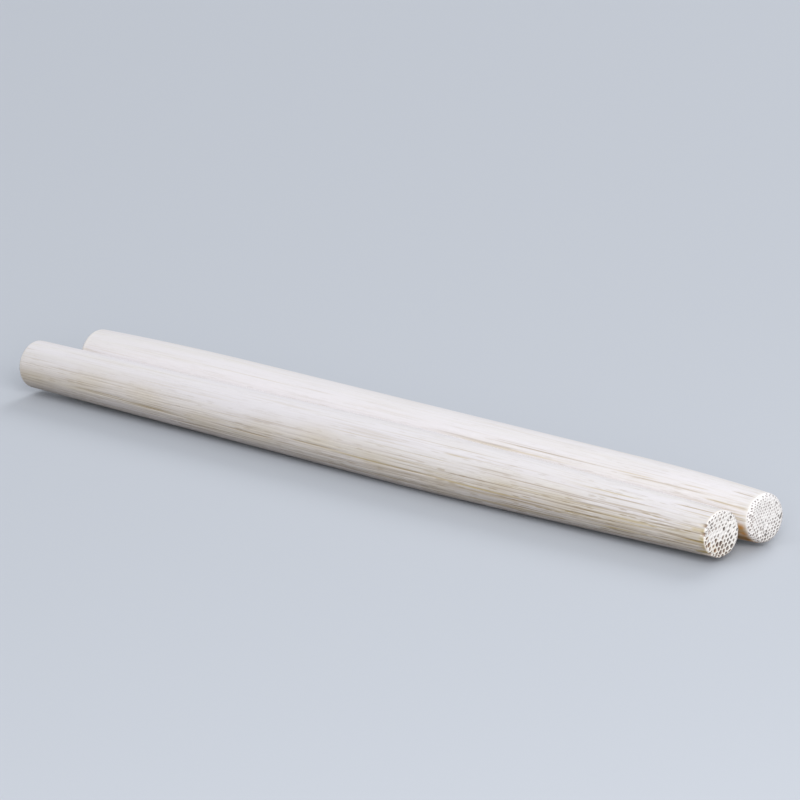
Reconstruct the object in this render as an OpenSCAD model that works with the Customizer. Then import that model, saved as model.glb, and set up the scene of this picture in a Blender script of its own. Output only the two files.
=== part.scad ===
// Pair of round bamboo chopsticks lying side by side.
// X runs along the sticks, Y across the pair, and the sticks rest on Z = 0.
// The near ends are at +X, and the front stick is the one at -Y.

/* [Pair] */
// Diameter of both sticks at their thickest place
stick_d = 8; // [7:0.1:12]
// Gap between the sticks where they lie closest
touch_gap = 0.05; // [0.02:0.01:0.5]
// How far the rear stick's near end stands out past the front one's
rear_ahead = 0.3; // [0:0.1:6]

/* [Front stick] */
// Length of the front stick
front_len = 134; // [120:1:240]
// Diameter of its near cut end
front_near_d = 6.45; // [4:0.05:7]
// Diameter of its far cut end
front_far_d = 6.6; // [4:0.05:7]
// Length of the taper towards the near end
front_near_taper = 56; // [20:1:70]
// Length of the thickest, straight stretch
front_straight = 4; // [1:1:30]
// How slowly the near taper sets in, where 1 is a straight cone
front_near_curve = 1.3; // [1:0.1:3]
// How slowly the far taper sets in, where 1 is a straight cone
front_far_curve = 1.1; // [1:0.1:3]
// Radius that eases the rims of its cut ends
front_rim = 0.35; // [0.1:0.05:0.8]

/* [Rear stick] */
// Length of the rear stick
rear_len = 130.6; // [120:0.2:240]
// Diameter of its near cut end
rear_near_d = 6.8; // [4:0.05:7]
// Diameter of its far cut end
rear_far_d = 6.95; // [4:0.05:7]
// Length of the taper towards the near end
rear_near_taper = 25; // [10:1:35]
// Length of the thickest, straight stretch
rear_straight = 76; // [10:1:80]
// How slowly the near taper sets in, where 1 is a straight cone
rear_near_curve = 2; // [1:0.1:3]
// How slowly the far taper sets in, where 1 is a straight cone
rear_far_curve = 2; // [1:0.1:3]
// Radius that eases the rims of its cut ends
rear_rim = 0.75; // [0.1:0.05:0.8]

/* [Cut ends] */
// Distance between the open pores of the front stick's end grain
front_pitch = 0.65; // [0.6:0.01:0.9]
// Width of the front stick's widest pores
front_pore = 0.5; // [0.2:0.01:0.5]
// Distance between the open pores of the rear stick's end grain
rear_pitch = 0.57; // [0.5:0.01:0.9]
// Width of the rear stick's widest pores
rear_pore = 0.32; // [0.2:0.01:0.42]
// Depth of the open pores
pore_depth = 0.5; // [0.2:0.05:1]
// Wall that is left between the outermost pores and the rim of the flat end
pore_wall = 0.06; // [0.02:0.01:0.3]
// How far below the axis the drying split in the rear stick's near end starts
split_drop = 0.3; // [0:0.1:0.5]
// How far in front of the axis it starts
split_side = 0.7; // [0:0.1:1]
// Length of its run down the end grain
split_len = 1.8; // [0.8:0.1:2]
// Length of its branch towards the back
split_branch = 1.3; // [0.4:0.1:1.6]
// Width of its mouth
split_w = 0.13; // [0.08:0.01:0.2]
// Its depth into the stick
split_depth = 1.4; // [0.5:0.1:3]

/* [Hidden] */

$fn = 72;
// Straight pieces that each taper and each eased rim is drawn with
taper_steps = 6;
rim_steps = 4;
// Corners of a pore, which the fibres round it press into a rough pentagon
pore_corners = 5;
// How far a pore strays from its place in the honeycomb, as a share of the pitch
pore_stray = 0.16;
// How far a pore's corners are pressed in, as a share of half its width
pore_dent = 0.3;
// Width of the smallest pores as a share of the widest
pore_least = 0.55;
// How far a cut runs out past the end that it opens
run_out = 1;
// Turn of each near end that brings its coarsest grain low to the front, and low
front_coarse_turn = 135;
rear_coarse_turn = 180;
// Seeds of the four cut ends, so that no two are alike
front_near_seed = 11;
front_far_seed = 12;
rear_near_seed = 13;
rear_far_seed = 14;

pair_len = max(front_len + rear_ahead, rear_len);
front_near_x = pair_len / 2 - rear_ahead;
rear_near_x = pair_len / 2;
rear_y = (stick_d + touch_gap) / 2;
front_y = -rear_y;

// Outline of a taper from its thick end to the start of the eased rim, as [radius, place along the stick]
function taper(from_z, to_z, thick_d, end_d, curve) = [
    for (i = [0:taper_steps])
        let (u = i / taper_steps)
        [thick_d / 2 - (thick_d - end_d) / 2 * pow(u, curve), from_z + (to_z - from_z) * u]
];

// Quarter round of an eased rim, from the side of the stick to its flat end; way is 1 or -1 along the stick
function eased_rim(end_z, end_d, rim, way) = [
    for (i = [1:rim_steps])
        let (a = 90 * i / rim_steps)
        [end_d / 2 - rim + rim * cos(a), end_z - way * rim + way * rim * sin(a)]
];

function backwards(points) = [for (i = [len(points) - 1:-1:0]) points[i]];

// A round stick from its far end at 0 to its near end at length, along Z
module round_stick(length, thick_d, near_d, far_d, near_taper, straight, near_curve, far_curve, rim) {
    near_from = length - near_taper;
    far_from = near_from - straight;
    near_side = concat(
        taper(near_from, length - rim, thick_d, near_d, near_curve),
        eased_rim(length, near_d, rim, 1)
    );
    far_side = concat(
        taper(far_from, rim, thick_d, far_d, far_curve),
        eased_rim(0, far_d, rim, -1)
    );
    rotate_extrude()
        polygon(concat([[0, 0]], backwards(far_side), near_side, [[0, length]]));
}

// One open pore: a rough pentagon whose corners are pressed in unevenly
module pore(wide, turn, dents) {
    polygon([
        for (k = [0:pore_corners - 1])
            let (a = turn + 360 * k / pore_corners, r = wide / 2 * (1 - dents[k]))
            [r * cos(a), r * sin(a)]
    ]);
}

// Open pores of one cut end, cut downwards from Z = 0, in a honeycomb that strays a little.
// They are widest towards -X of this drawing, where the grain is coarsest.
module end_pores(end_d, rim, pitch, widest, seed) {
    flat_r = end_d / 2 - rim;
    reach = end_d / 2 - pore_wall - widest / 2;
    row_gap = pitch * sqrt(3) / 2;
    rows = floor(reach / row_gap);
    cols = ceil(reach / pitch) + 1;
    per_row = 2 * cols + 1;
    spots = (2 * rows + 1) * per_row;
    stray_x = rands(-pore_stray, pore_stray, spots, seed);
    stray_y = rands(-pore_stray, pore_stray, spots, seed + 100);
    turns = rands(0, 360, spots, seed + 200);
    dents = [for (spot = [0:spots - 1]) rands(0, pore_dent, pore_corners, 10 * seed + spot)];
    for (i = [-rows:rows])
        for (j = [-cols:cols]) {
            spot = (i + rows) * per_row + j + cols;
            shift = i % 2 == 0 ? 0 : 0.5;
            x = (j + shift + stray_x[spot]) * pitch;
            y = i * row_gap + stray_y[spot] * pitch;
            from_axis = norm([x, y]);
            // 1 at the coarsest side of the end and 0 at the finest
            coarse = (1 - x / (end_d / 2)) / 2;
            wide = widest * (pore_least + (1 - pore_least) * coarse);
            // a pore on the eased rim starts lower, so it keeps its depth there
            sag = rim - sqrt(rim * rim - pow(max(0, from_axis - flat_r), 2));
            if (from_axis < reach)
                translate([x, y, -pore_depth - sag])
                    linear_extrude(pore_depth + sag + run_out)
                        pore(wide, turns[spot], dents[spot]);
        }
}

// Drying split: an open pore that runs out into a thin crack downwards, which then turns to the back
module split() {
    turn = [split_len, split_w];
    tip = [split_len + split_w, split_branch];
    translate([split_drop, -split_side, -split_depth])
        linear_extrude(split_depth + run_out)
            polygon([
                [-split_w, 0], [split_w, -split_w], turn + [split_w / 2, -split_w], tip,
                turn + [-split_w / 2, split_w / 2], [split_w, split_w]
            ]);
}

// Lays a stick drawn along Z onto the floor, with its near end at near_x
module lay(near_x, y, length) {
    translate([near_x - length, y, stick_d / 2])
        rotate([0, 90, 0])
            children();
}

module front_chopstick() {
    color("blanchedalmond")
        lay(front_near_x, front_y, front_len)
            difference() {
                round_stick(
                    front_len, stick_d, front_near_d, front_far_d,
                    front_near_taper, front_straight, front_near_curve, front_far_curve, front_rim
                );
                translate([0, 0, front_len])
                    rotate([0, 0, front_coarse_turn])
                        end_pores(front_near_d, front_rim, front_pitch, front_pore, front_near_seed);
                rotate([180, 0, 0])
                    end_pores(front_far_d, front_rim, front_pitch, front_pore, front_far_seed);
            }
}

module rear_chopstick() {
    color("antiquewhite")
        lay(rear_near_x, rear_y, rear_len)
            difference() {
                round_stick(
                    rear_len, stick_d, rear_near_d, rear_far_d,
                    rear_near_taper, rear_straight, rear_near_curve, rear_far_curve, rear_rim
                );
                translate([0, 0, rear_len]) {
                    rotate([0, 0, rear_coarse_turn])
                        end_pores(rear_near_d, rear_rim, rear_pitch, rear_pore, rear_near_seed);
                    split();
                }
                rotate([180, 0, 0])
                    end_pores(rear_far_d, rear_rim, rear_pitch, rear_pore, rear_far_seed);
            }
}

front_chopstick();
rear_chopstick();
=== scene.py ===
import bpy
import bmesh
import math
import random
import numpy as np
from mathutils import Matrix, Quaternion, Vector, noise


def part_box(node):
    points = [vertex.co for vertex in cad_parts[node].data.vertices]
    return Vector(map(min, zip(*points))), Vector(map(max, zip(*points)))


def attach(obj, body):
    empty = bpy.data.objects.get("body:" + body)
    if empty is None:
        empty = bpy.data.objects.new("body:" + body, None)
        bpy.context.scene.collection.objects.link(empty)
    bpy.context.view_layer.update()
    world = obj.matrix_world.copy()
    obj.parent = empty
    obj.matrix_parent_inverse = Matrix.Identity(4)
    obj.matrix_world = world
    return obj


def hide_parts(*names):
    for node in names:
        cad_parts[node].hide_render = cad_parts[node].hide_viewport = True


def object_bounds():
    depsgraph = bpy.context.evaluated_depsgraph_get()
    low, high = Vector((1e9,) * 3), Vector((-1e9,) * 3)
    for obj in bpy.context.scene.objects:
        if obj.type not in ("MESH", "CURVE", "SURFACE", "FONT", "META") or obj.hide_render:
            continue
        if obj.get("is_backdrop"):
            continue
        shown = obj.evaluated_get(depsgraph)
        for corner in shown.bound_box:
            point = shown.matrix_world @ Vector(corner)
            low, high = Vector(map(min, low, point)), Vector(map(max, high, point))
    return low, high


# Two short bamboo chopsticks, lying side by side. Each stick is drawn in millimetres with its near end's
# centre at the origin and then placed. Angles round a stick start at +Y and pass over the top, so 90 is
# the top, 180 the front and 270 the bottom. Distances along a stick are counted from its near end.
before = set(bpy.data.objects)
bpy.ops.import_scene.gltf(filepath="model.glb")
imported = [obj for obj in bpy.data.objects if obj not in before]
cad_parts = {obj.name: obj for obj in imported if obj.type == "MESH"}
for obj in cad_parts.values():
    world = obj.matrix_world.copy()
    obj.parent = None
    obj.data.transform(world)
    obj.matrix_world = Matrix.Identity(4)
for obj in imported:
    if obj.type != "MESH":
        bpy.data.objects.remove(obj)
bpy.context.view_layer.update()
mm = 0.001

frontStick = {
    "name": "front_stick",
    "node": "front_chopstick",
    "slot": "front_bamboo",
    "sides": 480,
    "nearDiameter": 6.45,
    "farDiameter": 6.6,
    "nearTaper": 56,
    "straight": 4,
    "nearCurve": 1.3,
    "farCurve": 1.1,
    "rim": 0.35,
    "rimTurn": 30,            # how far round the eased rim the side reaches before the end grain starts
    "swell": 0.004,           # height of the broad ridges, about a millimetre wide
    "ridges": [(0.02, 5, 0.0022), (0.05, 8, 0.003)],    # width, length, height of the finer ones
    "grooveTan": 0.26,        # how tan and how dark the grooves between them are
    "grooveDark": 0.14,
    "coarser": 3.1,           # how much higher they are at the crowd turn
    "endVessels": 50,         # vessels that run out through the side at each cut end
    "sideVessels": 150,       # and along the rest of the stick
    "crowdTurn": 198,         # half of those lie round here, where the grain is coarsest
    "vesselDepth": 0.016,
    "notches": (145, 290),    # between these angles the near end's outermost pores are open to the side
    # how dark and red the open notches are: painted shade in the notch, with some stain and rust
    "notchStainAndShade": 0.95,
    "notchRust": 0.6,
    "cutReach": 0.3,          # how far along the side the cut end's whiteness fades
    # stains near the cut end: angle, place, how far they reach round and along, and how strong they are
    "amberStainAndShade": [
        (160, 0.2, 6, 0.6, 0.5),
        (180, 0.2, 7, 0.7, 0.7),
        (200, 0.2, 6, 0.6, 0.6),
        (216, 0.4, 7, 1.0, 0.6),
    ],
    "seed": 21,
    # the streaks that stand out: angles at both ends, first and last place, width, how dark and how tan
    "streaks": [
        {"angles": (168, 167), "run": (13, 58), "width": 0.06, "dark": 0.7, "tan": 0.3},
        {"angles": (176, 173), "run": (10, 46), "width": 0.06, "dark": 0.8, "tan": 0.3},
        {"angles": (188, 179), "run": (12, 84), "width": 0.14, "dark": 0.12, "tan": 1.0},
        {"angles": (196, 190), "run": (8, 72), "width": 0.13, "dark": 0.3, "tan": 0.6},
        {"angles": (150, 149), "run": (7, 50), "width": 0.06, "dark": 0.5, "tan": 0.5},
        {"angles": (132, 135), "run": (8, 24), "width": 0.07, "dark": 0.45, "tan": 0.5},
        {"angles": (123, 125), "run": (12, 25), "width": 0.08, "dark": 0.2, "tan": 1.0},
        {"angles": (113, 115), "run": (38, 64), "width": 0.07, "dark": 0.25, "tan": 0.4},
        {"angles": (131, 131), "run": (44, 50), "width": 0.10, "dark": 0.2, "tan": 0.7},
        {"angles": (159, 159), "run": (50, 70), "width": 0.10, "dark": 0.25, "tan": 0.3},
        {"angles": (221, 218), "run": (30, 40), "width": 0.08, "dark": 0.5, "tan": 0.2},
        {"angles": (211, 209), "run": (13, 19), "width": 0.07, "dark": 0.6, "tan": 0.5},
        {"angles": (73, 73), "run": (0, 5), "width": 0.07, "dark": 0.45, "tan": 0.5},
        {"angles": (105, 108), "run": (0, 8), "width": 0.08, "dark": 0.45, "tan": 0.8},
        {"angles": (158, 158), "run": (0, 3), "width": 0.35, "dark": 0.0, "tan": 0.9},
        {"angles": (167, 166), "run": (0, 11), "width": 0.07, "dark": 0.9, "tan": 0.4},
        {"angles": (187, 186), "run": (0, 5), "width": 0.16, "dark": 0.2, "tan": 1.0},
        {"angles": (196, 195), "run": (0, 8), "width": 0.08, "dark": 0.75, "tan": 0.6},
        {"angles": (206, 203), "run": (0, 10), "width": 0.08, "dark": 0.6, "tan": 0.4},
        {"angles": (216, 216), "run": (0, 3), "width": 0.30, "dark": 0.2, "tan": 0.9},
        {"angles": (184, 180), "run": (0, 134), "width": 2.0, "dark": 0.0, "tan": 0.35},
        {"angles": (192, 192), "run": (0, 3), "width": 1.0, "dark": 0.1, "tan": 0.6},
        {"angles": (206, 203), "run": (1, 24), "width": 0.20, "dark": 0.05, "tan": 0.7},
        {"angles": (174, 173), "run": (5, 30), "width": 0.20, "dark": 0.05, "tan": 0.8},
        {"angles": (214, 212), "run": (20, 52), "width": 0.20, "dark": 0.1, "tan": 0.7},
    ],
}

rearStick = {
    "name": "rear_stick",
    "node": "rear_chopstick",
    "slot": "rear_bamboo",
    "sides": 480,
    "nearDiameter": 6.8,
    "farDiameter": 6.95,
    "nearTaper": 25,
    "straight": 76,
    "nearCurve": 2,
    "farCurve": 2,
    "rim": 0.75,
    "rimTurn": 15,
    "swell": 0.004,
    "ridges": [(0.02, 5, 0.0018), (0.05, 8, 0.0022)],
    "grooveTan": 0.22,
    "grooveDark": 0.07,
    "coarser": 1.6,
    "endVessels": 50,
    "sideVessels": 120,
    "crowdTurn": 200,
    "vesselDepth": 0.012,
    "notches": (195, 290),
    "notchStainAndShade": 0.7,
    "notchRust": 0.3,
    "cutReach": 1.2,
    # orange stain near the cut end, darkened as painted shade where this side faces the front stick
    "amberStainAndShade": [
        (190, 1.5, 8, 1.1, 0.9),
        (206, 1.0, 9, 1.4, 1.0),
        (226, 1.4, 16, 2.0, 0.9),
        (246, 0.6, 12, 1.6, 0.8),
    ],
    "seed": 22,
    "streaks": [
        {"angles": (133, 133), "run": (23, 52), "width": 0.07, "dark": 0.5, "tan": 0.4},
        {"angles": (133, 133), "run": (17, 26), "width": 0.08, "dark": 0.1, "tan": 0.8},
        {"angles": (145, 143), "run": (30, 62), "width": 0.11, "dark": 0.05, "tan": 0.5},
        {"angles": (126, 127), "run": (8, 14), "width": 0.08, "dark": 0.2, "tan": 0.6},
        {"angles": (146, 145), "run": (0, 9), "width": 0.08, "dark": 0.35, "tan": 0.8},
        {"angles": (111, 111), "run": (0, 5), "width": 0.07, "dark": 0.45, "tan": 0.5},
        # these two stain the side that faces the front stick and darken it as painted shade of the gap
        {"angles": (200, 200), "run": (0, 5), "width": 0.6, "dark": 0.3, "tan": 1.0},
        {"angles": (224, 224), "run": (0, 4), "width": 0.6, "dark": 0.6, "tan": 1.0},
    ],
}

# End grain: each cut end is a honeycomb of open pores, one in the middle of each cell
coarseGrain = {
    "pitch": 0.64,
    "swell": 0.14,            # how much wider the cells are on the coarse side than in the middle
    "rowTurn": 24,            # degrees by which the rows are turned
    "twist": 6,               # and by which they curl between the middle and the rim
    "stretch": 1.38,          # how much longer than wide the cells are
    "stretchTurn": 46,        # and where they point
    "stray": 0.19,            # how far their corners stray, as a share of the pitch
    "joined": 0.015,          # share of walls that have broken down and joined two cells
    "wall": 0.02,             # left between the outermost cells and the rim
    "openLeast": 0.52,        # how much of its cell a pore opens on the fine side
    "openMost": 0.9,          # and on the coarse side
    "roundness": 0.35,        # 0 keeps a pore's corners sharp and 1 makes it a circle
    "coarseTurn": 245,        # where the coarse side lies round the end
    # the pores there are deepest, and their darkness is partly stain and partly painted shade of the
    # deep holes
    "darkTurn": 285,          # where the pores are deepest and darkest
    "darkShift": 0.3,         # how far those spread past the middle
    "rustTurn": 215,          # and where they are reddest
    "depth": 1.5,
    "rough": 0.016,           # how unevenly the walls are cut
    "mottled": 0.8,           # how much neighbouring pores are alike
    "faint": 0.08,            # share of cells that are only a shallow dent
    # a place, across and up, where some pores are small and the rest hardly show
    "patch": {
        "at": (-1.2, 1.2), "radius": 2.2, "small": 0.55, "share": 0.68, "stainAndShade": 0.5, "depth": 0.3,
    },
    # the next two set how dark the pores are painted, partly stain and partly painted shade of the deep
    # holes
    "stainAndShade": (0.1, 1.3),      # how dark the pores are on the pale and on the dark side
    "rimStainAndShade": 0.1,          # how much darker the pores beside the rim are
    "rimOpen": 0.05,          # and how much wider
    "rust": 1.0,
    "split": None,
}
fineGrain = dict(
    coarseGrain,
    pitch=0.48,
    twist=14,
    stretch=1.08,
    stray=0.21,
    patch=None,
    openLeast=0.55,
    openMost=0.74,
    mottled=0.4,
    coarseTurn=270,
    darkTurn=285,
    darkShift=-0.1,
    depth=1.1,
    faint=0.12,
    stainAndShade=(0.0, 0.7),
    rimStainAndShade=0.3,
    rimOpen=0.06,
    rust=0.2,
)
# The drying split in the rear stick's near end, as places across (+Y) and up from the axis
dryingSplit = {
    "corners": [
        (-0.70, -0.20), (-0.62, -0.85), (-0.68, -1.35), (-0.50, -2.05), (0.10, -2.30), (0.80, -2.15)
    ],
    "mouths": [0.12, 0.10, 0.09, 0.08, 0.06],    # the width of each stretch
    "ragged": 0.025,          # how far its edges stray
    "lip": 0.15,              # how deep its pale edge reaches
    # how dark the split is painted inside: painted shade in the crack, with some stain
    "stainAndShade": 0.4,
    "depth": 1.2,
}
splitGrain = dict(
    fineGrain,
    split=dryingSplit,
    patch={
        "at": (0.2, 0.9), "radius": 2.2, "small": 0.85, "share": 0.6, "stainAndShade": 0.35, "depth": 0.2,
    },
)


def placeOf(stick):
    # the matrix that places the stick, its length and its greatest radius in millimetres
    low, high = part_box(stick["node"])
    centre = (low + high) / 2
    toRow = Matrix.Translation((high.x, centre.y, centre.z)) @ Matrix.Scale(mm, 4)
    return toRow, (high.x - low.x) / mm, (high.z - low.z) / 2 / mm


def outlineOf(stick, length, thick):
    # places from the near end, radii, and how far the surface there leans towards an end
    rim = stick["rim"]
    arcSteps = 5
    closest, widest, settled = 0.15, 1.55, 16     # spacing at a cut end, and further in than settled
    arc = [math.radians(stick["rimTurn"]) * i / arcSteps for i in range(1, arcSteps + 1)]
    nearR, farR = stick["nearDiameter"] / 2, stick["farDiameter"] / 2
    outline = [(rim * (1 - math.sin(a)), nearR - rim * (1 - math.cos(a)), a) for a in reversed(arc)]
    # stations lie close together near the cut ends, where the grain opens
    steps = [0.0]
    half = length / 2 - rim
    while steps[-1] < half:
        steps.append(steps[-1] + closest + (widest - closest) * min(1, steps[-1] / settled))
    steps = [s * half / steps[-1] for s in steps]
    places = [rim + s for s in steps] + [length - rim - s for s in steps[-2::-1]]
    farStart = stick["nearTaper"] + stick["straight"]
    for d in places:
        r = thick
        if d < stick["nearTaper"]:
            u = (stick["nearTaper"] - d) / (stick["nearTaper"] - rim)
            r -= (thick - nearR) * u ** stick["nearCurve"]
        if d > farStart:
            u = (d - farStart) / (length - rim - farStart)
            r -= (thick - farR) * u ** stick["farCurve"]
        outline.append((d, r, 0))
    outline += [(length - rim * (1 - math.sin(a)), farR - rim * (1 - math.cos(a)), -a) for a in arc]
    return outline


def ridgesOf(sides, places, across, wide, long, rng):
    # ridges along the fibres, about as wide and long as given; each run fades into the next one
    runs = rng.normal(size=(int(places[-1] / long) + 2, sides))
    waves = np.fft.rfftfreq(sides, 1 / sides)
    soft = np.exp(-2 * (waves * wide / across) ** 2)
    runs = np.fft.irfft(np.fft.rfft(runs, axis=1) * soft, sides, axis=1)
    first = (places / long).astype(int)
    share = ((places / long - first) * math.pi / 2)[:, None]
    return (np.cos(share) * runs[first] + np.sin(share) * runs[first + 1]) / runs.std()


def reliefOf(stick, grain, outline, length):
    # how deep the surface lies, and how dark, tan and so on it is there: arrays with a row for each
    # station along the stick and a column for each side
    rng = np.random.default_rng(stick["seed"])
    sides = stick["sides"]
    d = np.array([p[0] for p in outline])[:, None]
    r = np.array([p[1] for p in outline])[:, None]
    angles = (np.arange(sides) * 2 * math.pi / sides)[None, :]
    crowd = (angles - math.radians(stick["crowdTurn"]) + math.pi) % (2 * math.pi) - math.pi
    inCrowd = np.exp(-(crowd / 0.9) ** 2)      # 1 at the crowd turn, in radians
    near = np.exp(-(d / 55) ** 2)              # 1 at the near end, in millimetres
    coarse = 1 + stick["coarser"] * np.exp(-(crowd / 0.8) ** 2)
    ridges = np.zeros((len(outline), sides))
    for wide, long, high in stick["ridges"]:
        ridges += high * ridgesOf(sides, d[:, 0], stick["nearDiameter"], wide, long, rng)
    usual = ridges.std()
    groove = np.clip(-ridges / usual / 2 - 0.3, 0, 1)
    tan = stick["grooveTan"] * groove * coarse
    dark = stick["grooveDark"] * groove * coarse
    ridges *= coarse
    swellWide, swellLong = 0.9, 12
    swell = stick["swell"] * ridgesOf(sides, d[:, 0], stick["nearDiameter"], swellWide, swellLong, rng)
    surface = 2 * (usual + stick["swell"])
    depth = np.maximum(0, surface - ridges - swell)    # the highest ridges are planed flat
    hollow = np.zeros_like(depth)

    def addVessel(turn, start, end, width, deep, darkness, tanness, fade=3, openness=0, power=2):
        # turn holds its angles at both ends; it fades out towards each end that isn't a cut end
        window = np.ones_like(d)
        if start > 0:
            window = window * np.clip((d - start) / fade, 0, 1)
        if end < length:
            window = window * np.clip((end - d) / fade, 0, 1)
        breaks = 0.8 + 0.2 * np.sin(d / rng.uniform(1.5, 5) + rng.uniform(0, 6.28))
        wander = 0.4 * width * np.sin(d / rng.uniform(3, 9) + rng.uniform(0, 6.28))
        middle = turn[0] + (turn[1] - turn[0]) * np.clip((d - start) / (end - start), 0, 1)
        arc = (angles - np.radians(middle) + math.pi) % (2 * math.pi) - math.pi
        shape = window * breaks * np.exp(-np.abs((arc * r - wander) / width) ** power)
        if deep:
            np.maximum(depth, surface + deep * shape, out=depth, where=shape > 0.05)
        np.maximum(dark, darkness * shape, out=dark)
        np.maximum(tan, tanness * shape, out=tan)
        np.maximum(hollow, openness * shape, out=hollow)

    for i in range(stick["endVessels"] * 2):
        run = rng.uniform(1, 10)
        start = 0 if i % 2 == 0 else length - run
        angle = rng.uniform(0, 360)
        addVessel(
            (angle, angle), start, start + run, rng.uniform(0.035, 0.07),
            stick["vesselDepth"] * rng.uniform(0.5, 2), 0.6 * rng.random() ** 2, rng.uniform(0.2, 0.9),
            fade=run * rng.uniform(0.3, 1),
        )
    for i in range(stick["sideVessels"]):
        # every other one lies in the crowd, which is thickest towards the near end
        run = rng.uniform(3, 26)
        start = 1 + (length - run - 2) * rng.random() ** (1 + i % 2)
        angle = rng.normal(stick["crowdTurn"], 30) if i % 2 else rng.uniform(0, 360)
        darkness = (0.5 + 0.4 * (i % 2)) * rng.random() ** (2 - 0.7 * (i % 2))
        turn = (angle, angle + rng.uniform(-1, 1))
        addVessel(
            turn, start, start + run, rng.uniform(0.035, 0.07 + 0.03 * (i % 2)),
            stick["vesselDepth"] * rng.uniform(0.3, 1.2), darkness, rng.uniform(0.1, 0.9),
            fade=run * rng.uniform(0.2, 0.5),
        )
    # all that is calmer away from the crowd and from the near end
    calm = (0.7 + 0.3 * near) * (0.6 + 0.4 * inCrowd)
    dark *= calm
    tan *= calm
    for s in stick["streaks"]:
        start, end = s["run"]
        deep = stick["vesselDepth"] if s["width"] < 0.12 else 0
        fade = (end - start) * 0.3
        addVessel(s["angles"], start, end, s["width"], deep, s["dark"], s["tan"], fade=fade)
    # the outermost pores run along just under the side, which is open there, and the open notches get
    # painted shade
    pitch = grain["pitch"]
    first, last = stick["notches"]
    for angle, below in rimCells(stick, grain):
        if first < angle < last and 0.15 * pitch < below < 0.8 * pitch:
            run = rng.uniform(1, 4) * pitch
            width = rng.uniform(0.28, 0.38) * pitch
            addVessel(
                (angle, angle), 0, run, width, min(0.7 * pitch, below + 0.2 * pitch),
                rng.uniform(0.0, 0.35), 0.9, fade=run, openness=1, power=4,
            )
    # amber stains near the cut ends; on the rear stick they carry painted shade of the gap between the
    # sticks too
    amberStainAndShade = np.zeros_like(depth)
    for angle, place, wide, long, strength in stick["amberStainAndShade"]:
        arc = (np.degrees(angles) - angle + 180) % 360 - 180
        np.maximum(amberStainAndShade, strength * np.exp(-(arc / wide) ** 2 - ((d - place) / long) ** 2), out=amberStainAndShade)
    crisp = (0.3 + 0.7 * near) * (0.2 + 0.8 * inCrowd)
    return depth, {"dark": dark, "tan": tan, "hollow": hollow, "amberStainAndShade": amberStainAndShade, "crisp": crisp}


def paintLayers(bm, *more):
    # the values that the material reads at each point
    return {name: bm.verts.layers.float.new(name) for name in (*more, "cut", "pitShade", "stainAndShade", "rust")}


def makeSide(stick, grain, outline, length):
    # a grid rolled into a tube, with each point set to its own depth below the outline; the edges
    # that the cut ends are joined to come with it, as points and the painted shade of an open pore there
    depth, tones = reliefOf(stick, grain, outline, length)
    sides = stick["sides"]
    # an open pore at the side is painted dark, as painted shade in the notch that fades along the side
    pitShadeReach = 0.8      # how far along the side an open pore stays dark
    bm = bmesh.new()
    paint = paintLayers(bm, "dark", "tan", "amberStainAndShade", "crisp")
    seam = bm.verts.layers.int.new("seam")
    bmesh.ops.create_grid(bm, x_segments=len(outline) - 1, y_segments=sides, size=1)
    rings = ([], [])
    for k, v in enumerate(bm.verts):
        j, i = divmod(k, len(outline))
        d, r, lean = outline[i]
        deep = depth[i, j % sides]
        turn = 2 * math.pi * j / sides
        r -= deep * math.cos(lean)
        v.co = (-d - deep * math.sin(lean), r * math.cos(turn), r * math.sin(turn))
        for name in ("dark", "tan", "amberStainAndShade", "crisp"):
            v[paint[name]] = tones[name][i, j % sides]
        # painted shade inside the open notches at the side, with some stain and rust
        v[paint["pitShade"]] = min(1, 1.3 * tones["hollow"][i, j % sides]) * max(0, 1 - d / pitShadeReach)
        v[paint["stainAndShade"]] = stick["notchStainAndShade"]
        v[paint["rust"]] = stick["notchRust"]
        v[paint["cut"]] = max(0, min(1, 1 - (min(d, length - d) - 0.1) / stick["cutReach"]))
        v[seam] = int(j % sides == 0 or i in (0, len(outline) - 1))
        for ring, station in zip(rings, (0, len(outline) - 1)):
            if j < sides and i == station:
                ring.append((v.co.copy(), v[paint["pitShade"]]))
    return bm, rings


def wayOf(grain, name, way):
    # the direction of one of the grain's turns in the plane of the end, where way is 1 at the near
    # end and -1 at the far one
    turn = math.radians(grain[name])
    return Vector((-way * math.sin(turn), math.cos(turn), 0))


def drawComb(bm, grain, flatR, way):
    # the whole honeycomb, past the rim: wider on the coarse side, with its rows turned and curled
    coarseWay, longWay = wayOf(grain, "coarseTurn", way), wayOf(grain, "stretchTurn", way)
    pitch = grain["pitch"]
    rows = int(flatR / pitch / 0.866) + 4
    made = []
    for i in range(-rows, rows + 1):
        for j in range(-rows, rows + 1):
            spot = Vector(((j + i % 2 / 2) * pitch, i * pitch * 0.866, 0))
            if spot.length < flatR + 2 * pitch:
                made += bmesh.ops.create_circle(
                    bm, cap_ends=True, segments=6, radius=pitch / math.sqrt(3),
                    matrix=Matrix.Translation(spot),
                )["verts"]
    bmesh.ops.remove_doubles(bm, verts=made, dist=pitch * 0.1)
    sideWay = Vector((-coarseWay.y, coarseWay.x, 0))
    for v in bm.verts:
        a, b = v.co.dot(coarseWay), v.co.dot(sideWay)
        grow = grain["swell"] * a / flatR
        p = coarseWay * a * (1 + grow / 2) + sideWay * b * (1 + grow)
        curl = math.radians(grain["rowTurn"] + grain["twist"] * min(1, p.length / flatR) ** 2)
        v.co = Matrix.Rotation(curl, 3, "Z") @ p
    stretch = math.sqrt(grain["stretch"])
    for size, along in ((stretch, longWay), (1 / stretch, Vector((-longWay.y, longWay.x, 0)))):
        bmesh.ops.transform(bm, matrix=Matrix.Scale(size, 4, along), verts=bm.verts)


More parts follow.
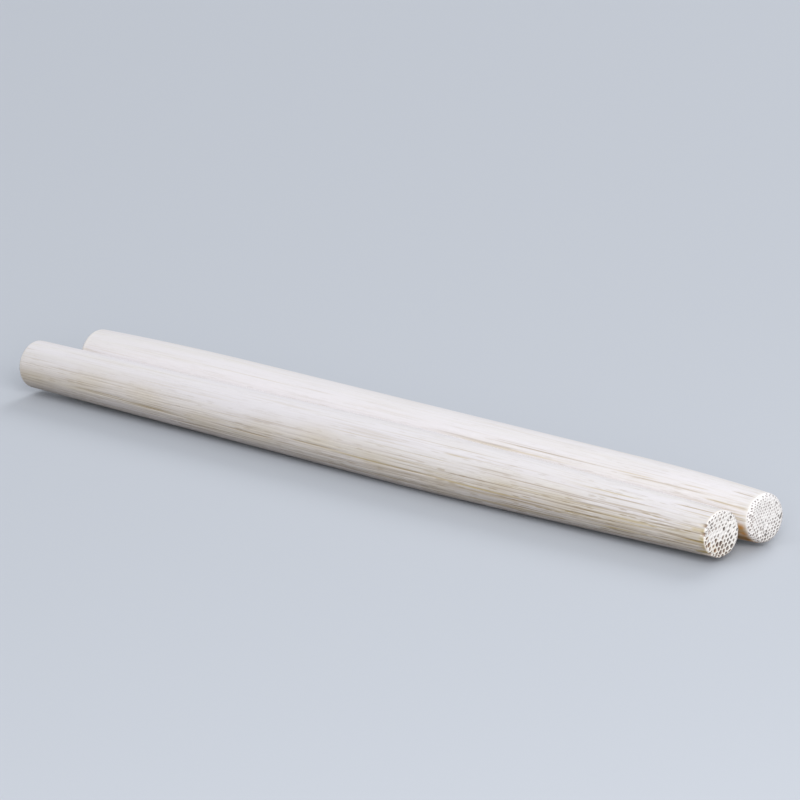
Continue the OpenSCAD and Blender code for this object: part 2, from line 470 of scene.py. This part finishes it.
def rimCells(stick, grain):
    # the angle of each of the near honeycomb's cells, and how far its middle lies below the rim
    bm = bmesh.new()
    drawComb(bm, grain, stick["nearDiameter"] / 2, 1)
    centres = [f.calc_center_median() for f in bm.faces]
    bm.free()
    flatR = stick["nearDiameter"] / 2
    return [(math.degrees(math.atan2(-c.x, c.y)) % 360, flatR - c.length) for c in centres]


def strayBy(v, reach, rng):
    v.co += Vector((rng.uniform(-reach, reach), rng.uniform(-reach, reach), 0))


def trimComb(bm, grain, roomAt, drawIn, rng):
    # the cells past the rim go, and the corners of the others stray
    pitch = grain["pitch"]
    outside = []
    for f in bm.faces:
        c = f.calc_center_median()
        if c.length > roomAt(c) + 0.2 * pitch:
            outside.append(f)
    bmesh.ops.delete(bm, geom=outside, context="FACES")
    for v in bm.verts:
        if not v.is_boundary:
            strayBy(v, grain["stray"] * pitch, rng)
        v.co = drawIn(v.co)
    bmesh.ops.remove_doubles(bm, verts=bm.verts, dist=0.08 * pitch)
    # cells that are too thin go, and then those that hang on by a corner
    thin = [f for f in bm.faces if f.calc_area() < 0.12 * pitch * pitch]
    while thin:
        bmesh.ops.delete(bm, geom=thin, context="FACES")
        pinched = [v for v in bm.verts if sum(e.is_boundary for e in v.link_edges) > 2]
        thin = list({min(v.link_faces, key=lambda f: f.calc_area()) for v in pinched})


def cellsBeside(bm, a, b, mouth, reach):
    # the cells whose middles lie within reach of the line from a to b
    along = (b - a).normalized()
    near = []
    for f in bm.faces:
        c = f.calc_center_median() - a
        if -mouth / 2 < c.dot(along) < (b - a).length + mouth / 2:
            if abs(c.x * along.y - c.y * along.x) < reach:
                near.append(f)
    return near


def drawSplit(bm, grain, corners):
    # the split is the strip of cells between two cuts, one on each side of its line
    kind = bm.faces.layers.int["kind"]
    pitch = grain["pitch"]
    crack = []
    for a, b, mouth in zip(corners, corners[1:], grain["split"]["mouths"]):
        along = (b - a).normalized()
        aside = Vector((-along.y, along.x, 0))
        for shift in (mouth / 2, -mouth / 2):
            near = cellsBeside(bm, a, b, mouth, pitch)
            edges = {e for f in near for e in f.edges}
            verts = {v for f in near for v in f.verts}
            bmesh.ops.bisect_plane(
                bm, geom=[*near, *edges, *verts], dist=0.05 * pitch, plane_co=a + aside * shift,
                plane_no=aside, use_snap_center=True,
            )
        crack += cellsBeside(bm, a, b, mouth, mouth / 2)
    for f in crack:
        f[kind] = 2
    # it runs out of a wide pore
    head = [f for f in bm.faces if (f.calc_center_median() - corners[0]).length < 0.5 * pitch]
    for f in bmesh.ops.dissolve_faces(bm, faces=head)["region"]:
        f[kind] = 1
    for f in bm.faces:
        if f[kind] == 1 and f.calc_area() < 0.2 * pitch * pitch:
            f[kind] = 0


def breakWalls(bm, grain, drawIn, rng):
    # some walls have broken down, and the rest get enough points to bend
    kind = bm.faces.layers.int["kind"]
    used = set()
    broken = []
    for e in bm.edges:
        if len(e.link_faces) == 2 and rng.random() < grain["joined"]:
            if not used.intersection(e.link_faces) and all(f[kind] == 1 for f in e.link_faces):
                used.update(e.link_faces)
                broken.append(e)
    bmesh.ops.dissolve_edges(bm, edges=broken, use_verts=False)
    for e in list(bm.edges):
        bmesh.utils.edge_split(e, e.verts[0], 0.5)
    longest = 0.08
    for times in range(2):
        for e in [e for e in bm.edges if e.is_boundary and e.calc_length() > longest]:
            bmesh.utils.edge_split(e, e.verts[0], 0.5)
    for v in bm.verts:
        v.co = drawIn(v.co)


def sinkSplit(bm, split, paint, rng):
    kind = bm.faces.layers.int["kind"]
    strip = [f for f in bm.faces if f[kind] == 2]
    for v in {v for f in strip for v in f.verts}:
        strayBy(v, split["ragged"], rng)
    for drop in (split["lip"], split["depth"] - split["lip"]):
        pushed = bmesh.ops.extrude_face_region(bm, geom=strip)["geom"]
        bmesh.ops.delete(bm, geom=strip, context="FACES_ONLY")
        strip = [f for f in pushed if isinstance(f, bmesh.types.BMFace)]
        sunk = [v for v in pushed if isinstance(v, bmesh.types.BMVert)]
        bmesh.ops.translate(bm, verts=sunk, vec=Vector((0, 0, -drop)))
        for v in sunk:
            # the split's inside is painted dark: painted shade in the crack
            v[paint["pitShade"]] = 1.0
            v[paint["stainAndShade"]] = split["stainAndShade"]


def lookOf(c, grain, split, flatR, way, seed, rng):
    # how wide, deep, dark and red the pore of a cell is, from where its middle lies; its darkness is
    # partly stain and partly painted shade
    coarseness, darkness, redness = (
        0.5 + 0.5 * max(-1, min(1, 1.3 * c.dot(wayOf(grain, name, way)) / flatR + bias))
        for name, bias in (("coarseTurn", 0), ("darkTurn", grain["darkShift"]), ("rustTurn", 0.1))
    )
    darkness = darkness * darkness * (3 - 2 * darkness)
    beside = max(0, min(1, (c.length / flatR - 0.65) / 0.25))       # 1 beside the rim
    cluster = noise.noise(c / (2.2 * grain["pitch"]) + Vector((7.3, 1.9, seed))) * grain["mottled"]
    isFaint = rng.random() < grain["faint"] * 2 * (1 - darkness)
    share = grain["openLeast"] + (grain["openMost"] - grain["openLeast"]) * coarseness
    share += grain["rimOpen"] * beside
    dark = grain["stainAndShade"][0] + (grain["stainAndShade"][1] - grain["stainAndShade"][0]) * darkness
    dark += grain["rimStainAndShade"] * beside * (1 - darkness)
    look = {"share": share * rng.uniform(0.8, 1.1), "stainAndShade": dark * rng.uniform(0.5, 1.1)}
    reach = 0.2 + 0.8 * max(darkness, 0.4 * beside)
    look["depth"] = grain["depth"] * reach * rng.uniform(0.7, 1.1)
    look["rust"] = grain["rust"] * redness * redness * rng.uniform(0.5, 1)
    patch = grain["patch"]
    if patch:
        at = Vector((-way * patch["at"][1], patch["at"][0], 0))
        if (c - at).length < patch["radius"] * rng.uniform(0.6, 1.1):
            isFaint = rng.random() > patch["small"] + (1 - patch["small"]) * beside
            look["share"] = patch["share"] * rng.uniform(0.8, 1.1)
            look["stainAndShade"] = patch["stainAndShade"] * rng.random()
            look["depth"] = patch["depth"]
            look["rust"] = 0
    if isFaint:
        look = {"share": rng.uniform(0.15, 0.3), "stainAndShade": 0.0, "depth": 0.04, "rust": 0}
    if split and (c - split[0]).length < 0.6 * grain["pitch"]:
        look = {"share": 0.9, "stainAndShade": 1.0, "depth": grain["depth"], "rust": 0}
    look["share"] = min(0.97, look["share"] * (1 + 0.6 * cluster))
    look["stainAndShade"] = min(1.1, look["stainAndShade"] * (1 + cluster))
    return look


def openPores(bm, grain, cells, looks, paint):
    # a pore in each cell: its mouth, a rounded lip, then its wall and floor, painted darker towards the
    # floor as painted shade
    number = bm.faces.layers.int["number"]
    bmesh.ops.inset_individual(bm, faces=cells, thickness=0.001, depth=0, use_even_offset=False)
    for f in cells:
        look = looks[f[number]]
        c = f.calc_center_median()
        mean = sum((v.co - c).length for v in f.verts) / len(f.verts)
        for v in f.verts:
            out = v.co - c
            size = out.length * (1 - grain["roundness"]) + min(mean, out.length) * grain["roundness"]
            v.co = c + out.normalized() * size * min(0.99, look["share"] * 1.12)
            v[paint["stainAndShade"]] = look["stainAndShade"]
            v[paint["rust"]] = look["rust"]
    # each step's place as a share of the depth, its width as a share of the last one, and how much
    # painted shade it gets
    for drop, shrink, shade in ((0, 0.9, 0), (0.08, 0.94, 0.45), (0.3, 0.94, 0.8), (1.0, 0.9, 1.0)):
        cells = bmesh.ops.extrude_discrete_faces(bm, faces=cells)["faces"]
        for f in cells:
            look = looks[f[number]]
            c = f.calc_center_median()
            for v in f.verts:
                v.co = c + (v.co - c) * shrink
                v.co.z = -0.02 - look["depth"] * drop
                v[paint["pitShade"]] = shade * (0.4 if look["depth"] < 0.1 else 1)
                v[paint["stainAndShade"]] = look["stainAndShade"]
                v[paint["rust"]] = look["rust"]


def makeEnd(stick, grain, ring, openness, way, rng):
    # in the plane of the cut end, with Z pointing out of the stick; ring is the edge that it is
    # joined to, and openness tells where a pore breaks through that edge, as the painted shade there
    bm = bmesh.new()
    kind = bm.faces.layers.int.new("kind")        # 1 is a cell of the honeycomb, and 2 the split
    number = bm.faces.layers.int.new("number")    # counts the cells
    seam = bm.verts.layers.int.new("seam")
    paint = paintLayers(bm)
    sides = len(ring)
    radii = [p.to_2d().length for p in ring]
    ringFrom = math.atan2(ring[0].y, ring[0].x)
    ringWay = 1 if ring[0].cross(ring[1]).z > 0 else -1
    flatR = stick["nearDiameter" if way == 1 else "farDiameter"] / 2

    def besideRing(p):
        # the number of the ring's point that lies at the same angle
        return round((math.atan2(p.y, p.x) - ringFrom) * ringWay / (2 * math.pi) * sides) % sides

    def roomAt(p):
        # how far from the axis the honeycomb may reach there, inside the rim and its notches
        k = besideRing(p)
        return min(radii[(k + n) % sides] for n in range(-3, 4)) - grain["wall"]

    def drawIn(p):
        size = p.to_2d().length
        return p * (roomAt(p) / size) if size > roomAt(p) else p

    drawComb(bm, grain, flatR, way)
    for f in bm.faces:
        f[kind] = 1
    trimComb(bm, grain, roomAt, drawIn, rng)
    corners = []
    if grain["split"]:
        corners = [Vector((-way * up, across, 0)) for across, up in grain["split"]["corners"]]
        drawSplit(bm, grain, corners)
    breakWalls(bm, grain, drawIn, rng)
    if grain["split"]:
        sinkSplit(bm, grain["split"], paint, rng)

    # the rest of the end, between the honeycomb and the rim
    bmesh.ops.delete(bm, geom=[e for e in bm.edges if e.is_wire], context="EDGES")
    edgeOfComb = [e for e in bm.edges if e.is_boundary]
    rimVerts = bmesh.ops.create_circle(bm, segments=sides, radius=flatR)["verts"]
    for v in rimVerts:
        k = besideRing(v.co)
        v.co = ring[k]
        v[seam] = 1
        v[paint["cut"]] = 0.5
        # where a pore breaks through the rim, painted shade darkens it, with some stain and rust
        v[paint["pitShade"]] = openness[k]
        v[paint["stainAndShade"]] = stick["notchStainAndShade"]
        v[paint["rust"]] = stick["notchRust"]
    rimEdges = list({e for v in rimVerts for e in v.link_edges})
    bmesh.ops.triangle_fill(bm, edges=edgeOfComb + rimEdges, use_beauty=True, normal=Vector((0, 0, 1)))
    for v in bm.verts:
        if not v[seam] and v.co.z > -0.001:
            v.co.z -= rng.uniform(0, grain["rough"])

    # walls of the split that copied the kind of a cell beside them get a small pore as well
    cells = [f for f in bm.faces if f[kind] == 1]
    seed = stick["seed"]
    looks = [lookOf(f.calc_center_median(), grain, corners, flatR, way, seed, rng) for f in cells]
    for k, f in enumerate(cells):
        f[number] = k
    openPores(bm, grain, cells, looks, paint)

    # the honeycomb follows the eased rim down
    rim = stick["rim"]
    endR = max(radii) + rim * (1 - math.cos(math.radians(stick["rimTurn"])))
    for v in bm.verts:
        if not v[seam]:
            past = min(rim * 0.99, max(0, v.co.to_2d().length - (endR - rim)))
            v.co.z -= rim - math.sqrt(rim * rim - past * past)
            v[paint["cut"]] = 1 - 0.5 * past / rim
    return bm, len(looks)


def makeStick(stick, nearGrain, farGrain):
    toRow, length, thick = placeOf(stick)
    outline = outlineOf(stick, length, thick)
    rng = random.Random(stick["seed"])
    bm, rings = makeSide(stick, nearGrain, outline, length)
    cells = 0
    for grain, ring, way, place in ((nearGrain, rings[0], 1, 0), (farGrain, rings[1], -1, -length)):
        toStick = Matrix.Translation((place, 0, 0)) @ Matrix.Rotation(way * math.pi / 2, 4, "Y")
        points = [toStick.inverted() @ p for p, _ in ring]
        end, count = makeEnd(stick, grain, points, [pitShade for _, pitShade in ring], way, rng)
        bmesh.ops.transform(end, matrix=toStick, verts=end.verts)
        endMesh = bpy.data.meshes.new("end")
        end.to_mesh(endMesh)
        end.free()
        bm.from_mesh(endMesh)
        bpy.data.meshes.remove(endMesh)
        cells += count
    seam = bm.verts.layers.int["seam"]
    bmesh.ops.remove_doubles(bm, verts=[v for v in bm.verts if v[seam]], dist=0.001)
    bmesh.ops.recalc_face_normals(bm, faces=bm.faces)
    bmesh.ops.transform(bm, matrix=toRow, verts=bm.verts)
    for f in bm.faces:
        f.smooth = True
    openEdges = sum(1 for e in bm.edges if len(e.link_faces) != 2)
    triangles = sum(len(f.verts) - 2 for f in bm.faces)
    bm.verts.layers.int.remove(seam)
    for name in ("kind", "number"):
        bm.faces.layers.int.remove(bm.faces.layers.int[name])
    mesh = bpy.data.meshes.new(stick["name"])
    bm.to_mesh(mesh)
    bm.free()
    piece = bpy.data.objects.new(stick["name"], mesh)
    bpy.context.collection.objects.link(piece)
    print(stick["name"], cells, "cells,", triangles, "triangles,", openEdges, "open edges")
    return piece


def tone(red, green, blue):
    # a colour as it looks on screen, 0 to 255, turned into the linear values that nodes take
    shown = (c / 255 for c in (red, green, blue))
    return tuple(c / 12.92 if c < 0.0404 else ((c + 0.055) / 1.055) ** 2.4 for c in shown) + (1,)


def addNode(tree, kind, spot, **values):
    node = tree.nodes.new(kind)
    node.location = spot
    for key, value in values.items():
        setattr(node, key, value)
    return node


def mixColours(tree, spot, factor, first, second):
    # first and second are colours or sockets
    mix = addNode(tree, "ShaderNodeMix", spot, data_type="RGBA")
    tree.links.new(factor, mix.inputs[0])
    for socket, value in ((mix.inputs[6], first), (mix.inputs[7], second)):
        if isinstance(value, tuple):
            socket.default_value = value
        else:
            tree.links.new(value, socket)
    return mix.outputs[2]


def rampValue(tree, spot, value, low, high):
    ramp = addNode(tree, "ShaderNodeMapRange", spot, interpolation_type="SMOOTHSTEP")
    tree.links.new(value, ramp.inputs["Value"])
    ramp.inputs["From Min"].default_value = low
    ramp.inputs["From Max"].default_value = high
    return ramp.outputs["Result"]


def doMath(tree, spot, operation, a, b=None):
    node = addNode(tree, "ShaderNodeMath", spot, operation=operation)
    for socket, value in zip(node.inputs, (a, b)):
        if value is None:
            continue
        if isinstance(value, (int, float)):
            socket.default_value = value
        else:
            tree.links.new(value, socket)
    return node.outputs[0]


def fibreGroup():
    # strands that run along X: where the surface cuts them they show as long thin streaks, and as dots
    # in the cut ends
    group = bpy.data.node_groups.new("bambooFibre", "ShaderNodeTree")
    face = group.interface
    face.new_socket("Vector", in_out="INPUT", socket_type="NodeSocketVector")
    face.new_socket("Strand Pitch", in_out="INPUT", socket_type="NodeSocketFloat").default_value = 0.6
    outputs = "Strand", "Hairline", "Tint", "Fleck", "Fleck Tint", "Cloud", "Fine", "Speckle", "Height"
    for name in outputs:
        face.new_socket(name, in_out="OUTPUT", socket_type="NodeSocketFloat")
    given = addNode(group, "NodeGroupInput", (-1600, 0))
    put = addNode(group, "NodeGroupOutput", (900, 0))

    def stretched(spot, alongScale, acrossScale):
        node = addNode(group, "ShaderNodeVectorMath", spot, operation="MULTIPLY")
        group.links.new(given.outputs["Vector"], node.inputs[0])
        node.inputs[1].default_value = (alongScale, acrossScale, acrossScale)
        return node.outputs[0]

    def needles(row, vector, thick, thin):
        # one needle to a cell, and none in the bare share of them; the second output tells the
        # needles apart
        bare = 0.3
        cell = addNode(group, "ShaderNodeTexVoronoi", (-900, row), voronoi_dimensions="3D", feature="F1")
        cell.inputs["Scale"].default_value = 1.0
        group.links.new(vector, cell.inputs["Vector"])
        pick = addNode(group, "ShaderNodeSeparateColor", (-700, row - 150))
        group.links.new(cell.outputs["Color"], pick.inputs[0])
        chosen = rampValue(group, (-500, row - 150), pick.outputs[0], bare, 1.0)
        core = rampValue(group, (-500, row), cell.outputs["Distance"], thick, thin)
        return doMath(group, (-300, row), "MULTIPLY", core, chosen), pick.outputs[1]

    divide = doMath(group, (-1400, 300), "DIVIDE", 1.0, given.outputs["Strand Pitch"])
    scaled = addNode(group, "ShaderNodeVectorMath", (-1100, 300), operation="SCALE")
    group.links.new(stretched((-1400, 150), 0.025, 1.0), scaled.inputs[0])
    group.links.new(divide, scaled.inputs["Scale"])
    strand = needles(300, scaled.outputs[0], 0.42, 0.15)[0]
    group.links.new(strand, put.inputs["Strand"])
    hair, tint = needles(0, stretched((-1100, 0), 0.06, 4.2), 0.42, 0.18)
    group.links.new(hair, put.inputs["Hairline"])
    group.links.new(tint, put.inputs["Tint"])

    # short needles: the dark ones are flecks, and the white ones are painted highlights on raised fibres
    fleck, fleckTint = needles(600, stretched((-1100, 600), 0.5, 5.0), 0.6, 0.3)
    group.links.new(fleck, put.inputs["Fleck"])
    group.links.new(fleckTint, put.inputs["Fleck Tint"])

    def clouds(row, alongScale, acrossScale, detail):
        node = addNode(group, "ShaderNodeTexNoise", (-900, row), noise_dimensions="3D")
        group.links.new(stretched((-1100, row), alongScale, acrossScale), node.inputs["Vector"])
        node.inputs["Scale"].default_value = 1.0
        node.inputs["Detail"].default_value = detail
        return node.outputs["Fac"]

    cloud = clouds(-400, 0.02, 0.8, 4)
    group.links.new(rampValue(group, (-500, -400), cloud, 0.4, 0.7), put.inputs["Cloud"])
    fine = clouds(-650, 0.12, 6.0, 4)
    group.links.new(rampValue(group, (-500, -650), fine, 0.3, 0.7), put.inputs["Fine"])
    group.links.new(clouds(-900, 11.0, 11.0, 3), put.inputs["Speckle"])
    raised = doMath(group, (0, -200), "MULTIPLY", fine, 0.6)
    sunk = doMath(group, (0, 0), "MULTIPLY", doMath(group, (-150, 100), "MAXIMUM", strand, hair), -0.8)
    group.links.new(doMath(group, (300, -100), "ADD", raised, sunk), put.inputs["Height"])
    return group


def bambooMaterial(name, fibres, looks, centre):
    mat = bpy.data.materials.new(name)
    mat.use_nodes = True
    tree = mat.node_tree
    shader = tree.nodes["Principled BSDF"]
    coords = addNode(tree, "ShaderNodeTexCoord", (-1800, 0))
    inMillimetres = addNode(tree, "ShaderNodeMapping", (-1600, 0))
    inMillimetres.inputs["Location"].default_value = tuple(-c / mm for c in centre)
    inMillimetres.inputs["Scale"].default_value = (1 / mm,) * 3
    tree.links.new(coords.outputs["Object"], inMillimetres.inputs["Vector"])
    grain = addNode(tree, "ShaderNodeGroup", (-1350, 0), node_tree=fibres)
    grain.inputs["Strand Pitch"].default_value = looks["pitch"]
    tree.links.new(inMillimetres.outputs["Vector"], grain.inputs["Vector"])

    def painted(name, row):
        node = addNode(tree, "ShaderNodeAttribute", (-1350, row), attribute_name=name)
        return node.outputs["Fac"]

    crisp, amberStainAndShade, cut = painted("crisp", 800), painted("amberStainAndShade", 650), painted("cut", 500)
    dark, tan = painted("dark", 350), painted("tan", 200)
    # the pit value is painted shade inside the pores, the split and the open notches
    pitShade, stainAndShade, rust = painted("pitShade", -300), painted("stainAndShade", -450), painted("rust", -600)
    lineTone = mixColours(tree, (-900, 650), grain.outputs["Tint"], looks["hair"], looks["straw"])
    # flecks run from the hair colour to white, and the white ones are painted highlights
    fleckAndHighlightTone = rampValue(tree, (-1100, 850), grain.outputs["Fleck Tint"], 0.35, 0.6)
    fleckAndHighlightTone = mixColours(tree, (-900, 850), fleckAndHighlightTone, looks["hair"], looks["cutWhite"])
    colour = looks["cream"]
    for row, output, share, second in (
        (300, "Cloud", "cloudShare", looks["warm"]),
        (200, "Fine", "fineShare", looks["fine"]),
        (100, "Strand", "strandShare", looks["straw"]),
        (0, "Hairline", "hairShare", lineTone),
        (-100, "Fleck", "fleckAndHighlightShare", fleckAndHighlightTone),
    ):
        factor = doMath(tree, (-1200, row), "MULTIPLY", grain.outputs[output], looks[share])
        if output != "Cloud":
            factor = doMath(tree, (-1100, row), "MULTIPLY", factor, crisp)
        colour = mixColours(tree, (-900 + (300 - row) * 2, row), factor, colour, second)
    colour = mixColours(tree, (-150, 200), tan, colour, looks["tan"])
    # amber: stain, and on the rear stick also painted shade of the gap between the sticks
    colour = mixColours(tree, (-75, 200), amberStainAndShade, colour, looks["amberStainAndShade"])
    colour = mixColours(tree, (0, 200), dark, colour, looks["dark"])
    # cut ends are whiter, and the strands' ends show in them as faint dots
    speckle = rampValue(tree, (-1100, -150), grain.outputs["Speckle"], 0.4, 0.75)
    dots = doMath(tree, (-1100, -100), "MULTIPLY", speckle, looks["speckleShare"])
    endTone = mixColours(tree, (0, -100), dots, looks["cutWhite"], looks["cutWarm"])
    halo = doMath(tree, (-150, -250), "MULTIPLY", rust, 0.5)
    endTone = mixColours(tree, (75, -100), halo, endTone, looks["tan"])
    colour = mixColours(tree, (150, 100), cut, colour, endTone)
    # inside the pores, the split and the open notches: painted shade, deeper further in, coloured by
    # stain and rust
    inPore = mixColours(tree, (150, -200), stainAndShade, looks["porePale"], looks["poreDark"])
    inPore = mixColours(tree, (150, -350), rust, inPore, looks["poreRust"])
    colour = mixColours(tree, (300, 0), doMath(tree, (0, -350), "POWER", pitShade, 0.7), colour, inPore)
    tree.links.new(colour, shader.inputs["Base Color"])
    rough = addNode(tree, "ShaderNodeMapRange", (100, -450))
    tree.links.new(grain.outputs["Height"], rough.inputs["Value"])
    rough.inputs["To Min"].default_value = looks["roughness"][0]
    rough.inputs["To Max"].default_value = looks["roughness"][1]
    tree.links.new(rough.outputs["Result"], shader.inputs["Roughness"])
    bump = addNode(tree, "ShaderNodeBump", (100, -700))
    bump.inputs["Strength"].default_value = looks["bump"]
    bump.inputs["Distance"].default_value = 0.05 * mm
    sawn = doMath(tree, (-300, -700), "MULTIPLY", cut, grain.outputs["Speckle"])
    height = doMath(tree, (-100, -700), "ADD", grain.outputs["Height"], sawn)
    tree.links.new(height, bump.inputs["Height"])
    tree.links.new(bump.outputs["Normal"], shader.inputs["Normal"])
    shader.inputs["IOR"].default_value = 1.45
    shader.inputs["Specular IOR Level"].default_value = 0.35
    shader.location = (600, 0)
    tree.nodes["Material Output"].location = (900, 0)
    return mat


frontLooks = {
    "pitch": 0.62,
    # the cream's faint lilac is the bluish light's tint, painted into the stick's colour
    "cream": tone(240, 236, 239),
    "warm": tone(235, 231, 221),
    "fine": tone(214, 207, 203),
    "straw": tone(222, 208, 168),
    "hair": tone(158, 137, 100),
    "tan": tone(210, 191, 142),
    "amberStainAndShade": tone(205, 180, 92),
    "dark": tone(118, 84, 46),
    "cutWhite": tone(254, 252, 251),
    "cutWarm": tone(238, 230, 219),
    # pore insides, pale to dark: painted shade of the pores' depth with some stain; poreRust is the red
    # of rusty pores
    "porePale": tone(204, 196, 192),
    "poreDark": tone(50, 34, 28),
    "poreRust": tone(120, 58, 26),
    "cloudShare": 0.35,
    "fineShare": 0.6,
    "strandShare": 0.5,
    "hairShare": 0.8,
    "fleckAndHighlightShare": 0.9,
    "speckleShare": 0.5,
    "roughness": (0.5, 0.7),
    "bump": 0.5,
}
rearLooks = dict(
    frontLooks,
    pitch=0.5,
    # the cream's faint lilac is the bluish light's tint, painted into the stick's colour
    cream=tone(241, 237, 239),
    cutWarm=tone(230, 227, 227),
    # dark orange: stain, with painted shade of the gap between the sticks
    amberStainAndShade=tone(210, 148, 66),
    # the rear pores' insides: painted shade of their depth, with some stain
    porePale=tone(208, 202, 202),
    poreDark=tone(92, 82, 77),
    cloudShare=0.3,
    strandShare=0.4,
    hairShare=0.65,
    fleckAndHighlightShare=0.5,
)

fibres = fibreGroup()
for stick, nearGrain, farGrain, looks in (
    (frontStick, coarseGrain, coarseGrain, frontLooks),
    (rearStick, splitGrain, fineGrain, rearLooks),
):
    piece = makeStick(stick, nearGrain, farGrain)
    low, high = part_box(stick["node"])
    piece.data.materials.append(bambooMaterial(stick["slot"], fibres, looks, (low + high) / 2))
    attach(piece, "root")
    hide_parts(stick["node"])
print("sticks done")

# Floor and light
studio = {
    "floorTone": tone(204, 209, 217),
    "bounceTone": tone(90, 84, 78),       # what the floor gives back to the sticks
    "floorSize": 6.0,
    "worldTone": tone(246, 249, 254),
    "worldStrength": 0.52,
    "keyPlace": (0.72, -0.45, 0.40),
    "keySize": 0.7,
    "keyPower": 7.3,
    "backPlace": (-0.2, 0.7, 0.6),
    "backSize": 0.5,
    "backPower": 2.2,
}


def makeFloor():
    bm = bmesh.new()
    bmesh.ops.create_grid(bm, x_segments=1, y_segments=1, size=studio["floorSize"] / 2)
    mesh = bpy.data.meshes.new("floor")
    bm.to_mesh(mesh)
    bm.free()
    floor = bpy.data.objects.new("floor", mesh)
    bpy.context.collection.objects.link(floor)
    mat = bpy.data.materials.new("floor")
    mat.use_nodes = True
    tree = mat.node_tree
    shader = tree.nodes["Principled BSDF"]
    rays = addNode(tree, "ShaderNodeLightPath", (-600, 200))
    direct = rays.outputs["Is Camera Ray"]
    for row, name in ((200, "Is Glossy Ray"), (0, "Is Transmission Ray")):
        direct = doMath(tree, (-450, row), "MAXIMUM", direct, rays.outputs[name])
    seen = mixColours(tree, (-250, 100), direct, studio["bounceTone"], studio["floorTone"])
    tree.links.new(seen, shader.inputs["Base Color"])
    shader.inputs["Roughness"].default_value = 0.6
    shader.inputs["Specular IOR Level"].default_value = 0.2
    mesh.materials.append(mat)
    floor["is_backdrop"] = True


def addLamp(name, place, size, power):
    lamp = bpy.data.lights.new(name, "AREA")
    lamp.shape = "DISK"
    lamp.size = size
    lamp.energy = power
    holder = bpy.data.objects.new(name, lamp)
    holder.location = place
    holder.rotation_euler = (-Vector(place)).to_track_quat("-Z", "Y").to_euler()
    bpy.context.collection.objects.link(holder)


makeFloor()
addLamp("keyLamp", studio["keyPlace"], studio["keySize"], studio["keyPower"])
addLamp("backLamp", studio["backPlace"], studio["backSize"], studio["backPower"])
world = bpy.data.worlds.new("studio")
world.use_nodes = True
world.node_tree.nodes["Background"].inputs["Color"].default_value = studio["worldTone"]
world.node_tree.nodes["Background"].inputs["Strength"].default_value = studio["worldStrength"]
bpy.context.scene.world = world
bpy.context.scene.view_settings.view_transform = "Standard"

# A long lens from in front of the near ends, leaning a little to one side
lens = {
    "heading": 42.45,         # degrees between the view and the sticks, seen from above
    "pitch": 17.3,            # degrees by which it looks down
    "lean": -4.24,
    "away": 2.0,              # metres
    "frame": 800,             # pixels across the picture
    "scale": 7.312,           # of which each millimetre at the aim takes so many
    "aim": (-21.55, 21.48, 0),
}


def makeCamera():
    heading, pitch = math.radians(lens["heading"]), math.radians(lens["pitch"])
    look = Vector((
        -math.cos(heading) * math.cos(pitch), math.sin(heading) * math.cos(pitch), -math.sin(pitch)
    ))
    cam = bpy.data.cameras.new("camera")
    cam.sensor_width = 36
    cam.lens = lens["scale"] / mm * lens["away"] / lens["frame"] * cam.sensor_width
    cam.clip_end = 50
    holder = bpy.data.objects.new("camera", cam)
    holder.rotation_mode = "QUATERNION"
    lean = Quaternion((0, 0, 1), math.radians(lens["lean"]))
    holder.rotation_quaternion = look.to_track_quat("-Z", "Y") @ lean
    holder.location = Vector(lens["aim"]) * mm - look * lens["away"]
    bpy.context.collection.objects.link(holder)
    bpy.context.scene.camera = holder


makeCamera()
print("stage done")

low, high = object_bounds()
